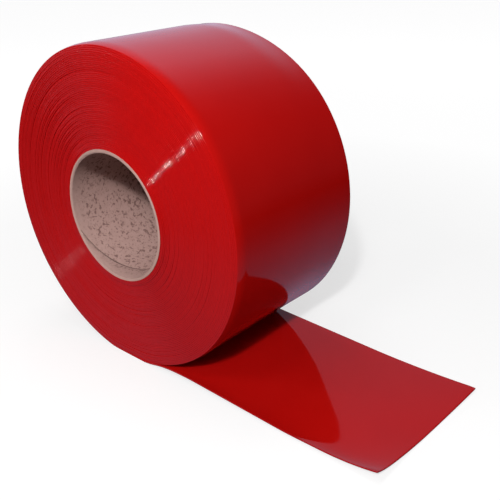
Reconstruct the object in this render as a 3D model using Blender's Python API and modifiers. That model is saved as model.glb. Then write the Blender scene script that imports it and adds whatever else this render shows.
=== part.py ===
"""Bulk roll of flexible PVC curtain strip on its cardboard tube, with the strip's free end on the floor.

Metres, +Z up. The origin is on the floor under the roll's axis. The axis runs along Y, the end face that the
photograph shows looks to -Y, and the free end runs out to +X.
"""

import math

import bmesh
import bpy
import numpy as np
from mathutils import Matrix, Vector

OBJECT_NAME = "pvc_strip_roll"

# Strip
STRIP_WIDTH = 0.200
STRIP_THICKNESS = 0.002

# Winding: a real roll has about 56 turns, and each loop here stands for two or three of them
ROLL_RADIUS = 0.194
WOUND_LOOPS = 24
POINTS_PER_LOOP = 24
TURN_GAP = 0.00046
FLAT_DEPTH = 0.0005

# Cardboard tube
BORE_RADIUS = 0.0762
TUBE_WALL = 0.0043
TUBE_PROUD = 0.003
TUBE_STEPS = 64
LINER_WALL = 0.0009
LINER_LEAD = 0.134
LINER_SEAM = 0.0008
LINER_STEPS = 48
SEAM_ANGLE_AT_FRONT = math.radians(-151)

# Free end, followed from the roll outwards along the strip's underside
LEAVE_ANGLE = math.radians(14)
LIFT_RADIUS = 0.130
SINK_ANGLE = math.radians(2.3)
SETTLE_RADIUS = 1.2
CURL_RADIUS = 0.9
CURL_LENGTH = 0.083
END_SKEW = 0.009
TAIL_LENGTHS = 8
STEPS_PER_LENGTH = 4

# Clearance between neighbouring pieces, how far a cutter runs past what it cuts, and when two points are one
CLEARANCE = 0.0003
OVERRUN = 0.010
MERGE_DISTANCE = 0.00001

SHARP_ANGLE = math.radians(30)
MILLIMETRES_IN_A_METRE = 1000

TURN = 2 * math.pi
HALF_STEP = TURN / POINTS_PER_LOOP / 2
DOWN = -TURN / 4
TUBE_RADIUS = BORE_RADIUS + TUBE_WALL
TUBE_LENGTH = STRIP_WIDTH + 2 * TUBE_PROUD

# The first loop's straight sides clear the round tube
START_RADIUS = (TUBE_RADIUS + CLEARANCE) / math.cos(HALF_STEP)
LOOP_PITCH = (ROLL_RADIUS - START_RADIUS - 2 * STRIP_THICKNESS - TURN_GAP) / (WOUND_LOOPS - 1)


def outer_radius(turns):
    """How far the strip's outer side is from the roll's axis, so many turns from its inner end."""
    full = min(turns, WOUND_LOOPS - 1)
    last = turns - full
    return START_RADIUS + STRIP_THICKNESS + LOOP_PITCH * full + (STRIP_THICKNESS + TURN_GAP) * last


def inner_radius(turns):
    """How far the strip's inner side is from the roll's axis, so many turns from its inner end."""
    if turns < 1:
        return START_RADIUS + (STRIP_THICKNESS + TURN_GAP) * turns
    return outer_radius(turns - 1) + TURN_GAP


# The roll stands on the side of its last loop that faces down, which is cut flat
AXIS_HEIGHT = outer_radius(WOUND_LOOPS - (LEAVE_ANGLE + HALF_STEP) / TURN) * math.cos(HALF_STEP) - FLAT_DEPTH


def winding_turns():
    """Turns at which the winding has points: at the same angles on every loop, and at its outer end."""
    last = WOUND_LOOPS - (LEAVE_ANGLE - HALF_STEP) % (2 * HALF_STEP) / TURN
    count = math.floor(last * POINTS_PER_LOOP) + 1
    return [last - i / POINTS_PER_LOOP for i in reversed(range(count))] + [WOUND_LOOPS]


def wound_point(turns, radius):
    """A point of the winding seen along its axis, with the axis at zero."""
    angle = DOWN + LEAVE_ANGLE + (turns - WOUND_LOOPS) * TURN
    return radius * math.cos(angle), radius * math.sin(angle)


def least_turn_gap(inner, outer):
    """Least distance from the strip's outer side to its inner side one turn further out, measured on points."""
    inner = np.array(inner)
    starts, sides = inner[:-1], np.diff(inner, axis=0)
    least = math.inf
    for i, point in enumerate(np.array(outer)):
        far = slice(i + POINTS_PER_LOOP // 2, None)
        if len(starts[far]) == 0:
            break
        along = ((point - starts[far]) * sides[far]).sum(1) / (sides[far] ** 2).sum(1)
        near = starts[far] + sides[far] * np.clip(along, 0, 1)[:, None]
        least = min(least, np.hypot(*(point - near).T).min())
    return least


def path_at(length):
    """The free end's underside so far from the roll: X, Z and slope."""
    x = ROLL_RADIUS * math.sin(LEAVE_ANGLE)
    z = AXIS_HEIGHT - ROLL_RADIUS * math.cos(LEAVE_ANGLE)
    slope = LEAVE_ANGLE
    for piece, bend in PATH_PIECES:
        run = min(length, piece)
        if bend == 0:
            x += run * math.cos(slope)
            z += run * math.sin(slope)
        else:
            after = slope + run * bend
            x += (math.sin(after) - math.sin(slope)) / bend
            z += (math.cos(slope) - math.cos(after)) / bend
            slope = after
        length -= run
        if length <= 0:
            break
    return x, z, slope


def path_pieces():
    """Lengths and bends: over the top, straight down to the floor, level there, and up at the tip."""
    leave_height = AXIS_HEIGHT - ROLL_RADIUS * math.cos(LEAVE_ANGLE)
    over_height = leave_height + LIFT_RADIUS * (math.cos(SINK_ANGLE) - math.cos(LEAVE_ANGLE))
    settle_drop = SETTLE_RADIUS * (1 - math.cos(SINK_ANGLE))
    return (
        (LIFT_RADIUS * (LEAVE_ANGLE + SINK_ANGLE), -1 / LIFT_RADIUS),
        ((over_height - settle_drop) / math.sin(SINK_ANGLE), 0),
        (SETTLE_RADIUS * SINK_ANGLE, 1 / SETTLE_RADIUS),
        (CURL_LENGTH, 1 / CURL_RADIUS),
    )


PATH_PIECES = path_pieces()
TAIL_PITCH = sum(piece for piece, bend in PATH_PIECES) / TAIL_LENGTHS


def clear_scene():
    for item in list(bpy.data.objects):
        bpy.data.objects.remove(item, do_unlink=True)


def new_collection(name):
    collection = bpy.data.collections.new(name)
    bpy.context.scene.collection.children.link(collection)
    return collection


def material(name, colour, roughness):
    made = bpy.data.materials.new(name)
    made.use_nodes = True
    shader = made.node_tree.nodes["Principled BSDF"]
    shader.inputs["Base Color"].default_value = (*colour, 1.0)
    shader.inputs["Roughness"].default_value = roughness
    shader.inputs["Metallic"].default_value = 0.0
    return made


def evaluated_mesh(item):
    """The object's mesh with its modifiers, welded and facing out."""
    evaluated = item.evaluated_get(bpy.context.evaluated_depsgraph_get())
    mesh = bpy.data.meshes.new_from_object(evaluated)
    body = bmesh.new()
    body.from_mesh(mesh)
    bmesh.ops.remove_doubles(body, verts=body.verts, dist=MERGE_DISTANCE)
    bmesh.ops.recalc_face_normals(body, faces=body.faces)
    body.to_mesh(mesh)
    body.free()
    return mesh


def as_mesh(item, collection, name):
    """Puts a mesh object in the place of a curve or of an object with modifiers."""
    bpy.context.view_layer.update()
    made = bpy.data.objects.new(name, evaluated_mesh(item))
    made.matrix_world = item.matrix_world
    collection.objects.link(made)
    bpy.data.objects.remove(item, do_unlink=True)
    return made


def extruded(name, outline, width, origin, collection):
    """A solid of an outline in X and Z, as wide along Y, whose origin is at the given point."""
    curve = bpy.data.curves.new(name, "CURVE")
    curve.dimensions = "2D"
    curve.fill_mode = "BOTH"
    curve.extrude = width / 2
    spline = curve.splines.new("POLY")
    spline.points.add(len(outline) - 1)
    for point, (x, z) in zip(spline.points, outline):
        point.co = (x - origin.x, z - origin.z, 0, 1)
    spline.use_cyclic_u = True
    flat = bpy.data.objects.new(name + "_outline", curve)
    collection.objects.link(flat)
    made = as_mesh(flat, collection, name)
    made.data.transform(Matrix.Rotation(TURN / 4, 4, "X"))
    made.location = origin
    return made


def turned(name, profile, collection, **settings):
    """A solid turned about the roll's axis from a closed profile of radii and places along the axis."""
    mesh = bpy.data.meshes.new(name)
    count = len(profile)
    edges = [(i, (i + 1) % count) for i in range(count)]
    mesh.from_pydata([(radius, 0, along) for radius, along in profile], edges, [])
    item = bpy.data.objects.new(name + "_profile", mesh)
    collection.objects.link(item)
    screw = item.modifiers.new("Turn", "SCREW")
    screw.axis = "Z"
    screw.use_merge_vertices = True
    screw.merge_threshold = MERGE_DISTANCE
    for key, value in settings.items():
        setattr(screw, key, value)
    screw.render_steps = screw.steps
    made = as_mesh(item, collection, name)
    made.data.transform(Matrix.Rotation(-TURN / 4, 4, "X"))
    made.location = (0, 0, AXIS_HEIGHT)
    return made


def box(name, low, high, collection):
    """A cutter between two corners."""
    mesh = bpy.data.meshes.new(name)
    body = bmesh.new()
    bmesh.ops.create_cube(body, size=1)
    size = high - low
    bmesh.ops.scale(body, vec=size, verts=body.verts)
    bmesh.ops.translate(body, vec=(low + high) / 2, verts=body.verts)
    body.to_mesh(mesh)
    body.free()
    made = bpy.data.objects.new(name, mesh)
    made.hide_render = True
    made.display_type = "WIRE"
    collection.objects.link(made)
    return made


def cut(item, cutter, operation):
    boolean = item.modifiers.new(cutter.name, "BOOLEAN")
    boolean.operation = operation
    boolean.solver = "EXACT"
    boolean.object = cutter


def finish(item, surface):
    """Gives a piece its material and smooth round sides with sharp edges."""
    item.data.materials.clear()
    item.data.materials.append(surface)
    item.data.shade_smooth()
    item.data.set_sharp_from_angle(angle=SHARP_ANGLE)


def wound_strip(parts, cutters, surface):
    """The strip on the roll, one spiral from the tube out to where the free end leaves it."""
    turns = winding_turns()
    inner = [wound_point(turn, inner_radius(turn)) for turn in turns]
    outer = [wound_point(turn, outer_radius(turn)) for turn in turns]
    print(f"least gap between the turns: {least_turn_gap(inner, outer) * MILLIMETRES_IN_A_METRE:.3f} mm")
    outline = [(x, z + AXIS_HEIGHT) for x, z in inner + outer[::-1]]
    made = extruded("wound_strip", outline, STRIP_WIDTH, Vector((0, 0, AXIS_HEIGHT)), parts)
    half = ROLL_RADIUS + OVERRUN
    low = Vector((-half, -half, -half))
    cut(made, box("floor_cutter", low, Vector((half, half, 0)), cutters), "DIFFERENCE")
    finish(made, surface)
    return made


def core_body(parts, surface):
    """The tube's outer plies, glued into one wall."""
    inner = (BORE_RADIUS + LINER_WALL + CLEARANCE) / math.cos(TURN / TUBE_STEPS / 2)
    half = TUBE_LENGTH / 2
    profile = [(TUBE_RADIUS, half), (TUBE_RADIUS, -half), (inner, -half), (inner, half)]
    made = turned("core_body", profile, parts, steps=TUBE_STEPS, angle=TURN)
    finish(made, surface)
    return made


def core_liner(parts, cutters, surface):
    """The tube's innermost ply, a band wound in a helix with an open seam, trimmed level with the tube's ends."""
    half = TUBE_LENGTH / 2
    rounds = math.ceil(TUBE_LENGTH / LINER_LEAD) + 1
    band = LINER_LEAD - LINER_SEAM
    outer = BORE_RADIUS + LINER_WALL
    profile = [(outer, band), (outer, 0), (BORE_RADIUS, 0), (BORE_RADIUS, band)]
    made = turned("core_liner", profile, parts, steps=LINER_STEPS, angle=-TURN, screw_offset=LINER_LEAD,
                  iterations=rounds)
    made.data.transform(Matrix.Translation((0, -half - LINER_LEAD, 0)))
    made.data.transform(Matrix.Rotation(-SEAM_ANGLE_AT_FRONT, 4, "Y"))
    reach = outer + OVERRUN
    low = Vector((-reach, -half, AXIS_HEIGHT - reach))
    high = Vector((reach, half, AXIS_HEIGHT + reach))
    cut(made, box("trim_cutter", low, high, cutters), "INTERSECT")
    finish(made, surface)
    return made


def top_side(length):
    """The free end's upper side so far from the roll."""
    x, z, slope = path_at(length)
    return x - STRIP_THICKNESS * math.sin(slope), z + STRIP_THICKNESS * math.cos(slope)


def skew_end(item):
    """Sets the strip's cut end a little out of square."""
    tip = max(vertex.co.x for vertex in item.data.vertices)
    for vertex in item.data.vertices:
        if vertex.co.x > tip - TAIL_PITCH / STEPS_PER_LENGTH / 2:
            vertex.co.x += END_SKEW * vertex.co.y / STRIP_WIDTH


def free_end(parts, surface):
    """The strip's free end in equal lengths, each hinged on its upper side where the one before it stops."""
    previous = None
    for number in range(TAIL_LENGTHS):
        start = number * TAIL_PITCH + CLEARANCE
        stop = (number + 1) * TAIL_PITCH
        run = [start + (stop - start) * step / STEPS_PER_LENGTH for step in range(STEPS_PER_LENGTH + 1)]
        under = [path_at(length)[:2] for length in run]
        upper = [top_side(length) for length in run]
        hinge_x, hinge_z = top_side(start - CLEARANCE / 2)
        hinge = Vector((hinge_x, 0, hinge_z))
        made = extruded(f"tail_{number + 1}", under + upper[::-1], STRIP_WIDTH, hinge, parts)
        if number == TAIL_LENGTHS - 1:
            skew_end(made)
        finish(made, surface)
        print(f"hinge of {made.name}: X {hinge.x:.6f}, Z {hinge.z:.6f}")
        if previous:
            made.parent = previous
            made.location = hinge - previous_hinge
        previous, previous_hinge = made, hinge


def main():
    clear_scene()
    parts = new_collection(OBJECT_NAME)
    cutters = new_collection("cutters")
    red_pvc = material("red_pvc", (0.50, 0.012, 0.012), 0.10)
    tube_board = material("tube_board", (0.42, 0.33, 0.29), 0.85)
    liner_paper = material("liner_paper", (0.46, 0.33, 0.29), 0.75)
    wound_strip(parts, cutters, red_pvc)
    core_body(parts, tube_board)
    core_liner(parts, cutters, liner_paper)
    free_end(parts, red_pvc)
    print(f"axis height {AXIS_HEIGHT:.6f}, tip {path_at(TAIL_PITCH * TAIL_LENGTHS)}")


main()
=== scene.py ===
"""Looks of a bulk roll of red PVC curtain strip: its turns, its free end and its cardboard tube."""

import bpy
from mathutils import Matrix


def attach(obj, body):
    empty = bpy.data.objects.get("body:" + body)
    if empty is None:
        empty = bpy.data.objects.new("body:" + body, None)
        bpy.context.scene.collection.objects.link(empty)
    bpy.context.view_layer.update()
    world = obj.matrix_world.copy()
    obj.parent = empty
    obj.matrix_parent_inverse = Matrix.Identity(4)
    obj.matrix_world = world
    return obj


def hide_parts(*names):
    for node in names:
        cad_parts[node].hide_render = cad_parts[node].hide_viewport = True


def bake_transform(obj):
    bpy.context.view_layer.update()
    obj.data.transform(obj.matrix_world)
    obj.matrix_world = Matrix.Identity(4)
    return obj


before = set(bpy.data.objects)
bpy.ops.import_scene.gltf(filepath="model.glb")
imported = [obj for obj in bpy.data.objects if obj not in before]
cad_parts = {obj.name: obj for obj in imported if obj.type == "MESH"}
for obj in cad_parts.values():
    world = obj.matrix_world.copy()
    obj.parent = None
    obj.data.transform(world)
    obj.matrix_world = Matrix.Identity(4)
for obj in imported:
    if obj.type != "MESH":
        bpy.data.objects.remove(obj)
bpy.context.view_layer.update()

import math

import bpy
import numpy as np
from mathutils import Matrix, Vector

TURN = 2 * math.pi
DOWN = -TURN / 4

# Strip
STRIP_WIDTH = 0.200
STRIP_THICKNESS = 0.002
OUTER_CORNER = 0.00045
INNER_CORNER = 0.00025
CORNER_STEPS = 3
CORNER_MARGIN = 0.0001
EDGE_CORNER_SHARE = 0.6
HALF_WIDTH = STRIP_WIDTH / 2
STRIP_CREASE = math.radians(40)

# Winding, with every turn of the real strip. The inner end of the first one thins out on the tube
ROLL_RADIUS = 0.194
AXIS_HEIGHT = 0.191695
WOUND_TURNS = 56
TURN_PITCH = 0.0020262
AIR = 0.00004
STEPS_PER_TURN = 120
LOOSE_TURNS = 1.15
LEAVE_ANGLE = math.radians(14)
ACROSS_POINTS = 34
TUBE_GAP = 0.0001
LEAST_THICKNESS_SHARE = 0.02

# How the turns' edges wander along the axis: how far, over how many turns, and from which seed
EDGE_WANDERS = ((0.00030, 5.3, 11), (0.00016, 1.37, 12), (0.00012, 0.31, 13))
EDGE_WANDERS_NEAR_END = 0.12

# Outer turns that are set back from the front, and inner turns that rise towards the tube's rim
SET_BACK = 0.0012
SET_BACK_TURNS = 4
CORE_RISE = 0.0026
CORE_RISE_TURNS = 7

# Stretches of turns that lie deeper than their neighbours, mostly at the lower right and the upper left
DENT_ANGLES = (math.radians(-45), math.radians(135))
DENTS_AT_EACH = 17
DENT_STRAY = 0.09
DENT_DEPTH = 0.0007
DENT_REACH = 0.15
DENT_LEAST_SHARE = 0.35
DENT_POWER = 4
DENT_SEED = 31

# The outer turns are round but for a short stretch of each, where it steps up on to the one below it
STEP_LENGTH = 0.12
STEP_POWER = 2

# Rim of the roll, clear of the floor: front edges drawn in, least at the left, and back edges that stand off
RIM_DROP = 0.0027
RIM_LENGTH = 0.0115
RIM_POWER = 2
RIM_KEPT = 0.65
RIM_KEPT_ANGLE = math.radians(165)
RIM_KEPT_REACH = math.radians(75)
RIM_FLARE = 0.0008
RIM_PRESSED = math.radians(16)
RIM_FREE = math.radians(60)

# Slack over the top, which is drawn tight at its back edge, and slack that hangs at the lower left
SLACK_HEIGHT = 0.0033
SLACK_ANGLE = math.radians(91)
SLACK_REACH = math.radians(50)
TIGHT_DEPTH = 0.0049
TIGHT_ANGLE = math.radians(78)
TIGHT_REACH = math.radians(28)
BACK_LENGTH = 0.045
LOW_SLACK_HEIGHT = 0.0022
LOW_SLACK_ANGLE = math.radians(-152)
LOW_SLACK_REACH = math.radians(38)

# Ripples in the last turn: how high, how close around and along the axis, and where they start
RIPPLES = ((0.00010, 3, 9, 0.4), (0.00007, 5, -22, 1.9), (0.00004, 9, 37, 4.1))

# How far up from the floor the turns give way to it
PRESSED_DEPTH = 0.030

# Free end: lengths and bends of its underside from the roll outwards, then how its sides lift
LIFT_RADIUS = 0.130
SINK_ANGLE = math.radians(2.3)
SETTLE_RADIUS = 1.2
CURL_LENGTH = 0.083
TAIL_LENGTHS = 8
STEPS_PER_LENGTH = 20
PATH_STEPS = 4000
END_SKEW = 0.009
END_ROUNDING = 0.0005
END_STEPS = 4
NEAR_LIFT = 0.0024
NEAR_LIFT_FROM = 0.060
NEAR_LIFT_TO = 0.115
NEAR_LIFT_POWER = 9
END_LIFT = 0.0012
END_LIFT_FROM = 0.242
END_LIFT_TO = 0.295
CORNER_FROM = 0.287
CORNER_LENGTH = 0.080
NEAR_CORNER = 0.0088
FAR_CORNER = 0.0022
CORNER_POWER = 2.2

# Cardboard tube
BORE_RADIUS = 0.0762
TUBE_WALL = 0.0043
TUBE_RADIUS = BORE_RADIUS + TUBE_WALL
TUBE_PROUD = 0.003
TUBE_STEPS = 160
LINER_WALL = 0.0009
LINER_LEAD = 0.134
LINER_SEAM = 0.0009
LINER_LIP = 0.0006
LINER_LIP_SHARE = 0.25
LINER_SET_IN = 0.0006
LINER_CLEARANCE = 0.0003
SEAM_ANGLE_AT_FRONT = math.radians(-151)
PLIES = 5
PLY_ROUNDING = 0.00012
PLY_UNEVEN = 0.00010
PLY_SEED = 21
TUBE_CREASE = math.radians(50)
TUBE_LENGTH = STRIP_WIDTH + 2 * TUBE_PROUD

# Floor, whose glow goes by how far from the roll it is, in shares of GLOW_REACH
FLOOR_REACH = 6
FLOOR_HEIGHT = -0.0002
FLOOR_SHADE = 0.4
FLOOR_GRAIN = 0.01
GLOW_REACH = 2
FLOOR_GLOW = ((0, 0.60), (0.25, 0.68), (0.5, 0.82), (1, 0.92))

# Light from all round, which changes between two heights, then the lamps
LIGHT_FROM_ABOVE = 0.075
LIGHT_FROM_BELOW = 0.07
LIGHT_TURNS_FROM = 0.45
LIGHT_TURNS_TO = 0.55
AIR_SEEN = 0.95
LIGHTS_AIM = (0.05, 0, 0.19)
MAIN_LIGHT = (1.13, -1.65, 1.74)
NEAR_LIGHT = (0.193, -0.363, 0.552)
TOP_LIGHT = (-0.40, 0.10, 2.05)
FILL_LIGHT = (-1.10, -1.0, 0.35)

# What gloss sees of a white sweep behind on the left: levels towards its middle and shares by height
SWEEP_AZIMUTH = math.radians(150)
SWEEP_TINT = (0.90, 0.78, 1.03)
SWEEP_LEVELS = (
    (0.50, 0.03), (0.56, 0.06), (0.62, 0.12), (0.68, 0.25), (0.75, 0.48),
    (0.81, 0.68), (0.87, 0.74), (0.96, 0.76), (1.0, 0.68),
)
SWEEP_HEIGHTS = ((0.42, 0), (0.50, 1))

# What gloss sees of the floor: levels towards the sweep's middle and shares by height
FLOOR_TINT = (0.85, 0.60, 0.90)
FLOOR_LEVELS = (
    (0.46, 0.27), (0.56, 0.32), (0.62, 0.34), (0.68, 0.42),
    (0.75, 0.48), (0.81, 0.40), (0.87, 0.27), (1.0, 0.08),
)
FLOOR_HEIGHTS = ((0.15, 1), (0.20, 0.85), (0.25, 0.68), (0.30, 0.38), (0.35, 0.16), (0.425, 0))

# Camera, fitted to the photograph
CAMERA_PLACE = (0.6369, -0.5834, 0.5036)
CAMERA_AZIMUTH = math.radians(41.451)
CAMERA_ELEVATION = math.radians(24.707)
CAMERA_ROLL = math.radians(-1.703)
CAMERA_LENS = 51.81
CAMERA_SENSOR = 36
CAMERA_CLIP_START = 0.01

# Strip's materials, with the two reds that each goes between
PVC_IOR = 1.53
WOUND_REDS = ((0.455, 0.0032, 0.0024, 1), (0.505, 0.0052, 0.0040, 1))
# The free end's reds are the winding's reds made a little darker: painted shade, not a different PVC
FREE_SHADED_REDS = ((0.443, 0.0032, 0.0024, 1), (0.493, 0.0052, 0.0040, 1))
EDGE_REDS = ((0.44, 0.0030, 0.0028, 1), (0.55, 0.0046, 0.0044, 1))
DULL_TURNS = ((0.42, 0), (0.60, 1))
DULLER_BY = 0.13

# Tube's materials, with the browns that each goes between
BOARD_BROWNS = ((0.54, 0.345, 0.300, 1), (0.64, 0.425, 0.370, 1))
FIBRE_BROWN = (0.34, 0.20, 0.165, 1)
FIBRE_SHARE = 0.5
PAPER_BROWNS = ((0.39, 0.240, 0.211, 1), (0.52, 0.341, 0.303, 1))
# The seam's dark browns are painted shade for the shadow in its gap
SEAM_SHADE_BROWNS = ((0.16, 0.094, 0.083, 1), (0.27, 0.172, 0.152, 1))

# Flecks in the liner's paper: scale, width, shift and darkness of two kinds, and how they are cut
FLECK_KINDS = ((110, 0.085, 0.3, 0.8), (190, 0.07, 1.7, 0.5))
FLECK_BROWN = (0.17, 0.088, 0.080, 1)
FLECK_LEVEL = 0.5
FLECK_CORE_SHARE = 0.3
FLECK_CUT_SCALE = 1.9
FLECK_CUTS = ((0.53, 0), (0.62, 1))
FLECKS_BY_LENGTH = ((0.42, 1), (0.49, 0.15))

# A ramp's tint where it has none
WHITE = (1, 1, 1)

# Where the Mix node's colours stand among its sockets
MIX_FIRST_COLOUR = 6
MIX_SECOND_COLOUR = 7
MIX_RESULT_COLOUR = 2


def smooth(share):
    """Rises from 0 to 1 with level ends."""
    share = np.clip(share, 0, 1)
    return share * share * (3 - 2 * share)


def wander(at, reach, spacing, seed):
    """A smooth random line through even spacings."""
    values = np.random.default_rng(seed).uniform(-reach, reach, int(at.max() / spacing) + 3)
    place = at / spacing
    before = np.floor(place).astype(int)
    return values[before] + (values[before + 1] - values[before]) * smooth(place - before)


def arc(radius, steps):
    """Points of a quarter circle, as how far in from the strip's side and from its edge each one is."""
    angles = np.linspace(0, TURN / 4, steps + 1)
    return radius * (1 - np.cos(angles)), radius * (1 - np.sin(angles))


def crowded_ends(points):
    """Spacings from -1 to 1 without their ends, closer together near them."""
    even = np.linspace(-1, 1, points + 2)[1:-1]
    return 1.5 * even - 0.5 * even ** 3


def strip_section(outer_points, inner_points):
    """The strip's cross-section as a closed line: depth below its outer side, and place across."""
    outer_in, outer_across = arc(OUTER_CORNER, CORNER_STEPS)
    inner_in, inner_across = arc(INNER_CORNER, CORNER_STEPS)
    inner_depth = STRIP_THICKNESS - AIR - inner_in
    edge_flat = [OUTER_CORNER + CORNER_MARGIN, STRIP_THICKNESS - AIR - INNER_CORNER - CORNER_MARGIN]
    depth = np.concatenate([outer_in, edge_flat, inner_depth[::-1]])
    across = np.concatenate([outer_across, [0, 0], inner_across[::-1]]) - HALF_WIDTH
    inner_side = crowded_ends(inner_points) * (HALF_WIDTH - INNER_CORNER)
    outer_side = crowded_ends(outer_points)[::-1] * (HALF_WIDTH - OUTER_CORNER)
    full_depth = np.full(inner_points, STRIP_THICKNESS - AIR)
    round_depth = np.concatenate([depth, full_depth, depth[::-1], np.zeros(outer_points)])
    round_across = np.concatenate([across, inner_side, -across[::-1], outer_side])
    return round_depth[::-1], round_across[::-1]


def grid_faces(rows, columns):
    """Faces of a tube of rows, each a closed line of columns."""
    row, column = np.meshgrid(np.arange(rows - 1), np.arange(columns), indexing="ij")
    after = (column + 1) % columns
    this_row = row * columns
    next_row = this_row + columns
    corners = [this_row + column, this_row + after, next_row + after, next_row + column]
    return np.stack(corners, -1).reshape(-1, 4)


def linked_mesh(name, places, faces, materials, crease):
    """A mesh in the scene, smooth but for its creases."""
    mesh = bpy.data.meshes.new(name)
    mesh.from_pydata(places.reshape(-1, 3).tolist(), [], faces)
    for material in materials:
        mesh.materials.append(material)
    mesh.shade_smooth()
    mesh.set_sharp_from_angle(angle=crease)
    made = bpy.data.objects.new(name, mesh)
    bpy.context.scene.collection.objects.link(made)
    return made


def strip_piece(name, places, materials, edge_faces):
    """A closed length of strip from rows of places. Its edge and end faces take the second material."""
    rows, columns = places.shape[:2]
    faces = grid_faces(rows, columns).tolist()
    last_row = (rows - 1) * columns
    faces.append(list(range(columns))[::-1])
    faces.append(list(range(last_row, last_row + columns)))
    made = linked_mesh(name, places, faces, materials, STRIP_CREASE)
    on_edge = np.broadcast_to(edge_faces, (rows - 1, columns)).ravel().tolist()
    made.data.polygons.foreach_set("material_index", on_edge + [1, 1])
    return made


def edge_columns(depth, across):
    """Which face columns of a section are on one of its long edges."""
    on_edge = np.abs(across) > HALF_WIDTH - INNER_CORNER * EDGE_CORNER_SHARE
    return (on_edge & np.roll(on_edge, -1)).astype(int)


def dents(turns):
    """How deep the dented stretches of the winding lie."""
    random = np.random.default_rng(DENT_SEED)
    depth = np.zeros_like(turns)
    for angle in DENT_ANGLES:
        first = (angle - DOWN - LEAVE_ANGLE) / TURN
        at = first + np.linspace(1, WOUND_TURNS - SET_BACK_TURNS, DENTS_AT_EACH).round()
        at = at + random.uniform(-DENT_STRAY, DENT_STRAY, DENTS_AT_EACH)
        shares = random.uniform(DENT_LEAST_SHARE, 1, (DENTS_AT_EACH, 2))
        for middle, (depth_share, reach_share) in zip(at, shares):
            off_middle = (turns - middle) / (DENT_REACH * reach_share)
            depth += DENT_DEPTH * depth_share * np.exp(-off_middle ** DENT_POWER)
    return depth


def edge_wander(turns):
    """How far along the axis the winding strays, which dies out where the free end leaves it."""
    strayed = sum(wander(turns, *values) for values in EDGE_WANDERS) + dents(turns)
    strayed = strayed + SET_BACK * smooth(1 - (WOUND_TURNS - turns) / SET_BACK_TURNS)
    strayed = strayed - CORE_RISE * smooth(1 - turns / CORE_RISE_TURNS)
    return strayed * smooth((WOUND_TURNS - turns) / EDGE_WANDERS_NEAR_END)


def free_of_floor(angle):
    """0 where the roll is pressed on the floor, and 1 higher up."""
    from_bottom = np.abs((angle - DOWN + TURN / 2) % TURN - TURN / 2)
    return smooth((from_bottom - RIM_PRESSED) / (RIM_FREE - RIM_PRESSED))


def turn_radius(turns):
    """Radius of the strip's outer side: an even spiral at the tube, and rounds with a step further out."""
    to_end = WOUND_TURNS - turns
    stepped = np.floor(to_end) + smooth((to_end % 1 - 1 + STEP_LENGTH) / STEP_LENGTH)
    return ROLL_RADIUS - TURN_PITCH * (to_end + (stepped - to_end) * (turns / WOUND_TURNS) ** STEP_POWER)


def swell(angle, middle, reach):
    """A soft rise round an angle."""
    off_angle = (angle - middle + TURN / 2) % TURN - TURN / 2
    return np.exp(-(off_angle / reach) ** 2)


def stand_off(turns, angle, across):
    """How far the turns stand off a true round, more and more outwards, with soft ripples in the last one."""
    front = np.clip(1 - (HALF_WIDTH + across) / RIM_LENGTH, 0, 1) ** RIM_POWER
    back = smooth((across - HALF_WIDTH + BACK_LENGTH) / BACK_LENGTH)
    drop = RIM_DROP * (1 - RIM_KEPT * swell(angle, RIM_KEPT_ANGLE, RIM_KEPT_REACH))
    rims = (RIM_FLARE * back - drop * front) * free_of_floor(angle)
    slack = SLACK_HEIGHT * swell(angle, SLACK_ANGLE, SLACK_REACH)
    slack = slack + LOW_SLACK_HEIGHT * swell(angle, LOW_SLACK_ANGLE, LOW_SLACK_REACH)
    tight = TIGHT_DEPTH * swell(angle, TIGHT_ANGLE, TIGHT_REACH) * back
    ripple = sum(
        height * np.sin(around * angle + along * across + start) for height, around, along, start in RIPPLES
    )
    near_end = smooth((WOUND_TURNS - turns) / EDGE_WANDERS_NEAR_END)
    on_last = near_end * smooth((turns - WOUND_TURNS + 1) / STEP_LENGTH)
    return (rims + slack - tight) * turns / WOUND_TURNS + ripple * on_last


def wound_places(turns, depth, across):
    """Places of the winding's strip: one row for each step along it."""
    turns = turns[:, None]
    angle = DOWN + LEAVE_ANGLE + (turns - WOUND_TURNS) * TURN
    radius = turn_radius(turns) - depth + stand_off(turns, angle, across)
    on_tube = TUBE_RADIUS + TUBE_GAP + (STRIP_THICKNESS - depth) * LEAST_THICKNESS_SHARE
    radius = np.maximum(radius, on_tube)
    x = radius * np.cos(angle)
    z = AXIS_HEIGHT + radius * np.sin(angle)
    round_floor = AXIS_HEIGHT - np.sqrt(ROLL_RADIUS ** 2 - np.minimum(np.abs(x), ROLL_RADIUS) ** 2)
    pressed = np.maximum(0, -round_floor) * np.clip(1 - (z - round_floor) / PRESSED_DEPTH, 0, 1)
    y = across + edge_wander(turns)
    return np.stack([x, y + np.zeros_like(x), np.maximum(z + pressed, 0)], -1)


def wound_piece(name, first, last, outer_points, materials):
    """A stretch of the winding, from one count of turns to another."""
    depth, across = strip_section(outer_points, 0)
    turns = np.linspace(first, last, round((last - first) * STEPS_PER_TURN) + 1)
    places = wound_places(turns, depth, across)
    made = strip_piece(name, places, materials, edge_columns(depth, across))
    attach(made, "roll")
    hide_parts("wound_strip")


def winding(materials):
    """All the turns, of which only the edges show, and the last one apart, whose outer side shows."""
    outer_from = WOUND_TURNS - LOOSE_TURNS
    wound_piece("wound_turns", 0, outer_from, 0, materials)
    wound_piece("outer_turn", outer_from, WOUND_TURNS, ACROSS_POINTS, materials)


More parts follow.
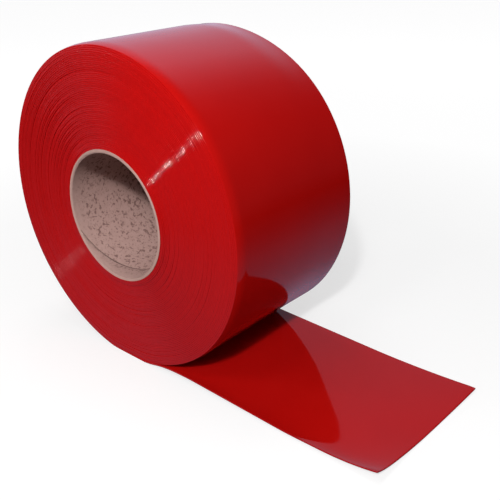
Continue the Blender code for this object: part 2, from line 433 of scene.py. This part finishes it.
def free_path():
    """The underside of the free end's middle: lengths from the roll, X, Z and slope."""
    leave_height = AXIS_HEIGHT - ROLL_RADIUS * math.cos(LEAVE_ANGLE)
    over_height = leave_height + LIFT_RADIUS * (math.cos(SINK_ANGLE) - math.cos(LEAVE_ANGLE))
    settle_drop = SETTLE_RADIUS * (1 - math.cos(SINK_ANGLE))
    over = LIFT_RADIUS * (LEAVE_ANGLE + SINK_ANGLE)
    straight = (over_height - settle_drop) / math.sin(SINK_ANGLE)
    settle = SETTLE_RADIUS * SINK_ANGLE
    stops = np.cumsum([0, over, straight, settle, CURL_LENGTH])
    slopes = [LEAVE_ANGLE, -SINK_ANGLE, -SINK_ANGLE, 0, 0]
    length = np.linspace(0, stops[-1], PATH_STEPS)
    slope = np.interp(length, stops, slopes)
    step = length[1] - length[0]
    middle = (slope[1:] + slope[:-1]) / 2
    x = ROLL_RADIUS * math.sin(LEAVE_ANGLE) + np.concatenate([[0], np.cumsum(np.cos(middle) * step)])
    z = leave_height + np.concatenate([[0], np.cumsum(np.sin(middle) * step)])
    return length, x, z, slope


def side_lift(x, across):
    """How far the free end's sides stand above its middle."""
    share = np.abs(across) / HALF_WIDTH
    corner = np.clip((x - CORNER_FROM) / CORNER_LENGTH, 0, 1) ** CORNER_POWER * share ** 2
    turned_up = NEAR_LIFT * smooth((x - NEAR_LIFT_FROM) / (NEAR_LIFT_TO - NEAR_LIFT_FROM))
    turned_up = turned_up + END_LIFT * smooth((x - END_LIFT_FROM) / (END_LIFT_TO - END_LIFT_FROM))
    near_side = turned_up * share ** NEAR_LIFT_POWER + NEAR_CORNER * corner
    return np.where(across < 0, near_side, FAR_CORNER * corner)


def free_places(path, run, depth, across, pitch):
    """Places of the free end's strip: one row for each length in the run."""
    length, path_x, path_z, path_slope = path
    x = np.interp(run, length, path_x)[:, None]
    z = np.interp(run, length, path_z)[:, None]
    slope = np.interp(run, length, path_slope)[:, None]
    to_end = (length[-1] - run)[:, None]
    rounding = np.clip(1 - to_end / END_ROUNDING, 0, 1)
    inset = END_ROUNDING * (1 - np.sqrt(1 - rounding ** 2))
    middle = STRIP_THICKNESS / 2
    rounded = middle + (depth - middle) * (1 - inset / middle)
    skew = END_SKEW * across / STRIP_WIDTH * np.clip(1 - to_end / pitch, 0, 1)
    new_x = x - rounded * np.sin(slope) + skew
    new_z = z + rounded * np.cos(slope) + side_lift(x + skew, across)
    return np.stack([new_x, across + np.zeros_like(new_x), new_z], -1)


def free_end(materials):
    """The free end in pieces that each run over one hinge, from one length's middle to the next one's."""
    path = free_path()
    whole = path[0][-1]
    pitch = whole / TAIL_LENGTHS
    depth, across = strip_section(ACROSS_POINTS, ACROSS_POINTS)
    edges = edge_columns(depth, across)
    for number in range(TAIL_LENGTHS):
        start = max(number - 0.5, 0) * pitch
        bent = (number + 0.5) * pitch
        stop = whole if number == TAIL_LENGTHS - 1 else bent
        run = np.linspace(start, stop, round((stop - start) / pitch * STEPS_PER_LENGTH) + 1)
        if stop == whole:
            rounding = whole - END_ROUNDING * (1 - np.sin(np.linspace(0, TURN / 4, END_STEPS)))
            run = np.concatenate([run[run < rounding[0] - END_ROUNDING], rounding])
        places = free_places(path, run, depth, across, pitch)
        made = strip_piece(f"free_end_{number + 1}", places, materials, edges)
        nodes = [f"tail_{near}" for near in (number, number + 1) if near > 0]
        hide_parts(*nodes)
        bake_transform(made)


def turned_piece(name, profile, material):
    """A ring turned about the roll's axis from a closed line of radii and places along the axis."""
    profile = np.array(profile)
    angles = np.linspace(0, TURN, TUBE_STEPS, endpoint=False)
    radius, along = profile[:, 0], profile[:, 1]
    x = np.cos(angles)[:, None] * radius
    z = AXIS_HEIGHT + np.sin(angles)[:, None] * radius
    places = np.stack([x, along + np.zeros_like(x), z], -1)
    faces = grid_faces(TUBE_STEPS + 1, len(profile)) % (TUBE_STEPS * len(profile))
    return linked_mesh(name, places, faces.tolist(), [material], TUBE_CREASE)


def ply_rim(sign):
    """One cut end of the tube's wall, from the bore out, with plies that are rounded and uneven."""
    inner = BORE_RADIUS + LINER_WALL + LINER_CLEARANCE
    ply = (TUBE_RADIUS - inner) / PLIES
    uneven = np.random.default_rng(PLY_SEED).uniform(0, PLY_UNEVEN, PLIES)
    points = []
    for number in range(PLIES):
        low = inner + ply * number
        top = TUBE_LENGTH / 2 - uneven[number]
        points.append((low, sign * (top - PLY_ROUNDING)))
        points.append((low + PLY_ROUNDING, sign * top))
        points.append((low + ply - PLY_ROUNDING, sign * top))
    points.append((TUBE_RADIUS, sign * (TUBE_LENGTH / 2 - PLY_ROUNDING)))
    return points


def tube_wall(board):
    """The tube's plies, with their cut edges at both ends."""
    profile = ply_rim(-1) + ply_rim(1)[::-1]
    made = turned_piece("tube_wall", profile, board)
    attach(made, "roll")
    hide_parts("core_body")


def tube_liner(paper, seam):
    """The innermost ply: a band wound in a helix, cut close to the tube's ends, with its open seam."""
    rows = []
    half = TUBE_LENGTH / 2 - LINER_SET_IN
    band = LINER_LEAD - LINER_SEAM
    outer = BORE_RADIUS + LINER_WALL
    rounds = math.ceil(TUBE_LENGTH / LINER_LEAD) + 1
    turns = np.linspace(rounds - 1, -1, rounds * TUBE_STEPS + 1)
    for turn in turns:
        angle = SEAM_ANGLE_AT_FRONT + turn * TURN
        start = -half + turn * LINER_LEAD + LINER_SEAM
        low, high = np.clip([start, start + band], -half, half)
        rows.append((angle, low, high))
    kept = [(angle, low, high) for angle, low, high in rows if high - low > LINER_SEAM / 2]
    on_seam = [[low > -half] * 2 + [False] + [high < half] * 2 + [False] for angle, low, high in kept[1:]]
    places = []
    for angle, low, high in kept:
        lip = min(LINER_LIP, (high - low) * LINER_LIP_SHARE)
        lip_radius = BORE_RADIUS + lip * LINER_LIP_SHARE
        line = [(outer, low), (lip_radius, low), (BORE_RADIUS, low + lip),
                (BORE_RADIUS, high - lip), (lip_radius, high), (outer, high)]
        places.append([(r * math.cos(angle), along, AXIS_HEIGHT + r * math.sin(angle)) for r, along in line])
    # The faces on the seam take the second material, whose dark colour is painted shade
    made = strip_piece("tube_liner", np.array(places), [paper, seam], np.array(on_seam, int))
    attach(made, "roll")
    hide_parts("core_liner")


class Shade:
    """A socket of a material's nodes that can be worked with like a number."""

    def __init__(self, nodes, socket):
        self.nodes = nodes
        self.socket = socket

    def worked(self, operation, first, second):
        """The result of one operation."""
        return self.nodes.add("ShaderNodeMath", {"operation": operation}, {0: first, 1: second})

    def __add__(self, other):
        return self.worked("ADD", self, other)

    def __sub__(self, other):
        return self.worked("SUBTRACT", self, other)

    def __mul__(self, other):
        return self.worked("MULTIPLY", self, other)

    def __rsub__(self, other):
        return self.worked("SUBTRACT", other, self)

    __radd__ = __add__
    __rmul__ = __mul__


class Nodes:
    """The nodes of a material or of the studio's air."""

    def __init__(self, tree):
        self.tree = tree

    def add(self, kind, settings=None, sockets=None, output=0):
        """Adds a node with its settings and its sockets' values or links, and gives one of its outputs."""
        made = self.tree.nodes.new(kind)
        for name, value in (settings or {}).items():
            if name == "stops":
                self.set_stops(made.color_ramp, value)
            else:
                setattr(made, name, value)
        self.fill(made, sockets or {})
        return Shade(self, made.outputs[output])

    def fill(self, made, sockets):
        """Sets or links a node's sockets."""
        for name, value in sockets.items():
            if isinstance(value, Shade):
                self.tree.links.new(value.socket, made.inputs[name])
            else:
                made.inputs[name].default_value = value

    def set_stops(self, ramp, stops):
        """Gives a ramp its colours."""
        while len(ramp.elements) < len(stops):
            ramp.elements.new(1)
        for element, (position, colour) in zip(ramp.elements, stops):
            element.position = position
            element.color = (*colour, 1)

    def ramp(self, factor, levels, tint=WHITE):
        """Levels of one tint along a factor."""
        stops = [(at, tuple(level * part for part in tint)) for at, level in levels]
        return self.add("ShaderNodeValToRGB", {"stops": stops}, {"Fac": factor})

    def mix(self, factor, first, second):
        """One colour into another."""
        sockets = {"Factor": factor, MIX_FIRST_COLOUR: first, MIX_SECOND_COLOUR: second}
        return self.add("ShaderNodeMix", {"data_type": "RGBA"}, sockets, MIX_RESULT_COLOUR)

    def noise(self, where, scale, detail=2, rough=0.5):
        """Soft random values between 0 and 1."""
        sockets = {"Vector": where, "Scale": scale, "Detail": detail, "Roughness": rough}
        return self.add("ShaderNodeTexNoise", {}, sockets)

    def vector(self, operation, first, second):
        """A vector worked out from two others."""
        return self.add("ShaderNodeVectorMath", {"operation": operation}, {0: first, 1: second})

    def length(self, vector):
        """How long a vector is."""
        return self.add("ShaderNodeVectorMath", {"operation": "LENGTH"}, {0: vector}, "Value")

    def absolute(self, value):
        """A value without its sign."""
        return self.add("ShaderNodeMath", {"operation": "ABSOLUTE"}, {0: value})

    def bump(self, height, strength, distance):
        """The surface's direction with small rises and hollows."""
        return self.add("ShaderNodeBump", {}, {"Strength": strength, "Distance": distance, "Height": height})


def grey(level):
    """A colour without tint."""
    return (level, level, level, 1)


def between(factor, low, high):
    """A value from low to high as a factor goes from 0 to 1."""
    return factor * (high - low) + low


def as_share(value):
    """Turns -1 to 1 into 0 to 1."""
    return value * 0.5 + 0.5


def new_surface(name, **fixed):
    """A material with its constant values set, its shader and its nodes."""
    material = bpy.data.materials.new(name)
    material.use_nodes = True
    shader = material.node_tree.nodes["Principled BSDF"]
    for socket, value in fixed.items():
        shader.inputs[socket.replace("_", " ")].default_value = value
    return material, shader, Nodes(material.node_tree)


def object_place(nodes, stretch=(1, 1, 1)):
    """Where a point is on its piece, in metres, stretched along the axes."""
    place = nodes.add("ShaderNodeTexCoord", output="Object")
    return nodes.vector("MULTIPLY", place, stretch)


def strip_face(name, gloss, reds):
    """The strip's smooth side: deep red and glossy, cloudy and a little smeared along it."""
    material, shader, nodes = new_surface(name, IOR=PVC_IOR, Specular_IOR_Level=gloss)
    clouds = nodes.noise(object_place(nodes), scale=14, detail=3)
    smear = nodes.noise(object_place(nodes, stretch=(1, 6, 1)), scale=30)
    swells = nodes.noise(object_place(nodes), scale=22, detail=1)
    nodes.fill(shader, {
        "Base Color": nodes.mix(clouds, *reds),
        "Roughness": between(smear, low=0.045, high=0.095),
        "Normal": nodes.bump(swells, strength=0.08, distance=0.0012),
    })
    return material


def from_axis(nodes):
    """How far a point is from the roll's axis."""
    in_face = object_place(nodes, stretch=(1, 0, 1))
    return nodes.length(nodes.vector("SUBTRACT", in_face, (0, 0, AXIS_HEIGHT)))


def strip_edge():
    """The strip's long edges: the same red, less smooth, with drag marks and some duller turns."""
    material, shader, nodes = new_surface("red_pvc_edge", IOR=PVC_IOR, Specular_IOR_Level=0.35)
    drag = nodes.noise(object_place(nodes), scale=160, detail=3, rough=0.6)
    sockets = {"W": from_axis(nodes), "Scale": 330}
    by_turn = nodes.add("ShaderNodeTexNoise", {"noise_dimensions": "1D"}, sockets)
    dull = nodes.ramp(by_turn, DULL_TURNS)
    nodes.fill(shader, {
        "Base Color": nodes.mix(drag, *EDGE_REDS),
        "Roughness": between(drag, low=0.06, high=0.12) + dull * DULLER_BY,
        "Normal": nodes.bump(drag, strength=0.12, distance=0.0004),
    })
    return material


def tube_board():
    """Cut cardboard: pale plies with fibres."""
    material, shader, nodes = new_surface("tube_board", Specular_IOR_Level=0.2)
    fibres = nodes.noise(object_place(nodes, stretch=(1, 0.3, 1)), scale=900, detail=4, rough=0.7)
    patches = nodes.noise(object_place(nodes), scale=60)
    pale = nodes.mix(patches, *BOARD_BROWNS)
    nodes.fill(shader, {
        "Base Color": nodes.mix(fibres * FIBRE_SHARE, pale, FIBRE_BROWN),
        "Roughness": between(fibres, low=0.78, high=0.93),
        "Normal": nodes.bump(fibres, strength=0.5, distance=0.0003),
    })
    return material


def flecks(nodes, scale, width, shift):
    """Short curled flecks, cut from a noise's level lines: 1 inside a fleck and 0 outside."""
    place = nodes.vector("ADD", object_place(nodes), (shift, shift, shift))
    off_line = nodes.absolute(nodes.noise(place, scale, detail=1) - FLECK_LEVEL)
    line = nodes.ramp(off_line, ((width * FLECK_CORE_SHARE, 1), (width, 0)))
    kept = nodes.ramp(nodes.noise(place, scale * FLECK_CUT_SCALE, detail=0), FLECK_CUTS)
    return line * kept


def liner_seam_shade():
    """The liner's cut edges, coloured dark and mottled as painted shade for the shadow in the seam's gap."""
    material, shader, nodes = new_surface("liner_seam_shade", Specular_IOR_Level=0.1)
    seam_mottle = nodes.noise(object_place(nodes), scale=400, detail=3)
    nodes.fill(shader, {
        "Base Color": nodes.mix(seam_mottle, *SEAM_SHADE_BROWNS),
        "Roughness": between(seam_mottle, low=0.8, high=0.9),
    })
    return material


def liner_paper():
    """The bore's paper: mottled pinkish brown with dark flecks, fewer of them by the tube's ends."""
    material, shader, nodes = new_surface("liner_paper", Specular_IOR_Level=0.2)
    mottle = nodes.noise(object_place(nodes), scale=170, detail=4, rough=0.65)
    colour = nodes.mix(mottle, *PAPER_BROWNS)
    along = nodes.add("ShaderNodeSeparateXYZ", {}, {"Vector": object_place(nodes)}, "Y")
    inside = nodes.ramp(nodes.absolute(along) * (1 / STRIP_WIDTH), FLECKS_BY_LENGTH)
    for scale, width, shift, darkness in FLECK_KINDS:
        mark = flecks(nodes, scale, width, shift) * inside * darkness
        colour = nodes.mix(mark, colour, FLECK_BROWN)
    nodes.fill(shader, {
        "Base Color": colour,
        "Roughness": between(mottle, low=0.70, high=0.85),
        "Normal": nodes.bump(mottle, strength=0.35, distance=0.0003),
    })
    return material


def pale_floor():
    """A pale floor that glows by itself, more so further away."""
    mesh = bpy.data.meshes.new("floor")
    signs = ((-1, -1), (1, -1), (1, 1), (-1, 1))
    corners = [(x * FLOOR_REACH, y * FLOOR_REACH, FLOOR_HEIGHT) for x, y in signs]
    mesh.from_pydata(corners, [], [(0, 1, 2, 3)])
    material, shader, nodes = new_surface("pale_floor", Specular_IOR_Level=0.1, Emission_Strength=1)
    grain = nodes.noise(object_place(nodes), scale=120, detail=3)
    far = nodes.length(object_place(nodes)) * (1 / GLOW_REACH)
    nodes.fill(shader, {
        "Base Color": nodes.mix(grain, grey(FLOOR_SHADE - FLOOR_GRAIN), grey(FLOOR_SHADE + FLOOR_GRAIN)),
        "Roughness": between(grain, low=0.8, high=0.9),
        "Emission Color": nodes.ramp(far, FLOOR_GLOW),
    })
    mesh.materials.append(material)
    floor = bpy.data.objects.new("floor", mesh)
    bpy.context.scene.collection.objects.link(floor)
    floor.visible_glossy = False
    floor.visible_diffuse = False


def seen_in_gloss(nodes, toward, height, levels, tint, heights):
    """Light of one tint that gloss sees: levels towards the sweep, times shares by height."""
    return nodes.vector("MULTIPLY", nodes.ramp(toward, levels, tint), nodes.ramp(height, heights))


def studio_air():
    """Light from all round, nearly even for matt surfaces, and what gloss sees of the sweep and the floor."""
    world = bpy.data.worlds.new("studio")
    bpy.context.scene.world = world
    world.use_nodes = True
    nodes = Nodes(world.node_tree)
    seen = nodes.add("ShaderNodeTexCoord", output="Generated")
    sweep = (math.cos(SWEEP_AZIMUTH), math.sin(SWEEP_AZIMUTH), 0)
    facing = nodes.add("ShaderNodeVectorMath", {"operation": "DOT_PRODUCT"}, {0: seen, 1: sweep}, "Value")
    # Toward is 0 away from the sweep and 1 at it, and height is 0 straight down and 1 straight up
    toward = as_share(facing)
    height = as_share(nodes.add("ShaderNodeSeparateXYZ", {}, {"Vector": seen}, "Z"))
    sweep_gloss = seen_in_gloss(nodes, toward, height, SWEEP_LEVELS, SWEEP_TINT, SWEEP_HEIGHTS)
    floor_gloss = seen_in_gloss(nodes, toward, height, FLOOR_LEVELS, FLOOR_TINT, FLOOR_HEIGHTS)
    gloss = nodes.vector("ADD", sweep_gloss, floor_gloss)
    levels = ((LIGHT_TURNS_FROM, LIGHT_FROM_BELOW), (LIGHT_TURNS_TO, LIGHT_FROM_ABOVE))
    is_glossy = nodes.add("ShaderNodeLightPath", output="Is Glossy Ray")
    is_camera = nodes.add("ShaderNodeLightPath", output="Is Camera Ray")
    colour = nodes.mix(is_glossy, nodes.ramp(height, levels), gloss)
    colour = nodes.mix(is_camera, colour, grey(AIR_SEEN))
    nodes.fill(world.node_tree.nodes["Background"], {"Color": colour, "Strength": 1})


def lamp(name, place, size, power, in_gloss=False):
    """A square light that looks at the roll."""
    data = bpy.data.lights.new(name, "AREA")
    data.shape = "SQUARE"
    data.size = size
    data.energy = power
    made = bpy.data.objects.new(name, data)
    bpy.context.scene.collection.objects.link(made)
    made.location = place
    made.rotation_mode = "QUATERNION"
    made.rotation_quaternion = (Vector(LIGHTS_AIM) - Vector(place)).to_track_quat("-Z", "Y")
    made.visible_glossy = in_gloss
    made.visible_camera = False


def lights():
    """One light behind the camera with a soft surround, and weak ones near, above and low on the left."""
    lamp("main_light", MAIN_LIGHT, size=0.13, power=35, in_gloss=True)
    lamp("surround_light", MAIN_LIGHT, size=0.55, power=16)
    lamp("near_light", NEAR_LIGHT, size=0.12, power=0.45)
    lamp("top_light", TOP_LIGHT, size=0.8, power=7.2)
    lamp("fill_light", FILL_LIGHT, size=0.25, power=4.2)


def photograph_camera():
    """The camera at the photograph's place."""
    back = Vector((
        math.sin(CAMERA_AZIMUTH) * math.cos(CAMERA_ELEVATION),
        -math.cos(CAMERA_AZIMUTH) * math.cos(CAMERA_ELEVATION),
        math.sin(CAMERA_ELEVATION),
    ))
    right = Vector((math.cos(CAMERA_AZIMUTH), math.sin(CAMERA_AZIMUTH), 0))
    up = back.cross(right)
    turned_right = right * math.cos(CAMERA_ROLL) + up * math.sin(CAMERA_ROLL)
    turned_up = up * math.cos(CAMERA_ROLL) - right * math.sin(CAMERA_ROLL)
    data = bpy.data.cameras.new("camera")
    data.lens = CAMERA_LENS
    data.sensor_width = CAMERA_SENSOR
    data.clip_start = CAMERA_CLIP_START
    camera = bpy.data.objects.new("camera", data)
    bpy.context.scene.collection.objects.link(camera)
    turned = Matrix((turned_right, turned_up, back)).transposed()
    camera.matrix_world = Matrix.Translation(CAMERA_PLACE) @ turned.to_4x4()
    bpy.context.scene.camera = camera


def main():
    """Makes the roll, its free end and its tube, and the floor, the lights and the camera."""
    edge = strip_edge()
    winding([strip_face("red_pvc_face", gloss=0.5, reds=WOUND_REDS), edge])
    # The free end's face takes less gloss and the darker reds, which are painted shade
    free_end([strip_face("red_pvc_free_face_shaded", gloss=0.17, reds=FREE_SHADED_REDS), edge])
    tube_wall(tube_board())
    tube_liner(liner_paper(), liner_seam_shade())
    pale_floor()
    studio_air()
    lights()
    photograph_camera()
    bpy.context.scene.view_settings.view_transform = "Standard"


main()
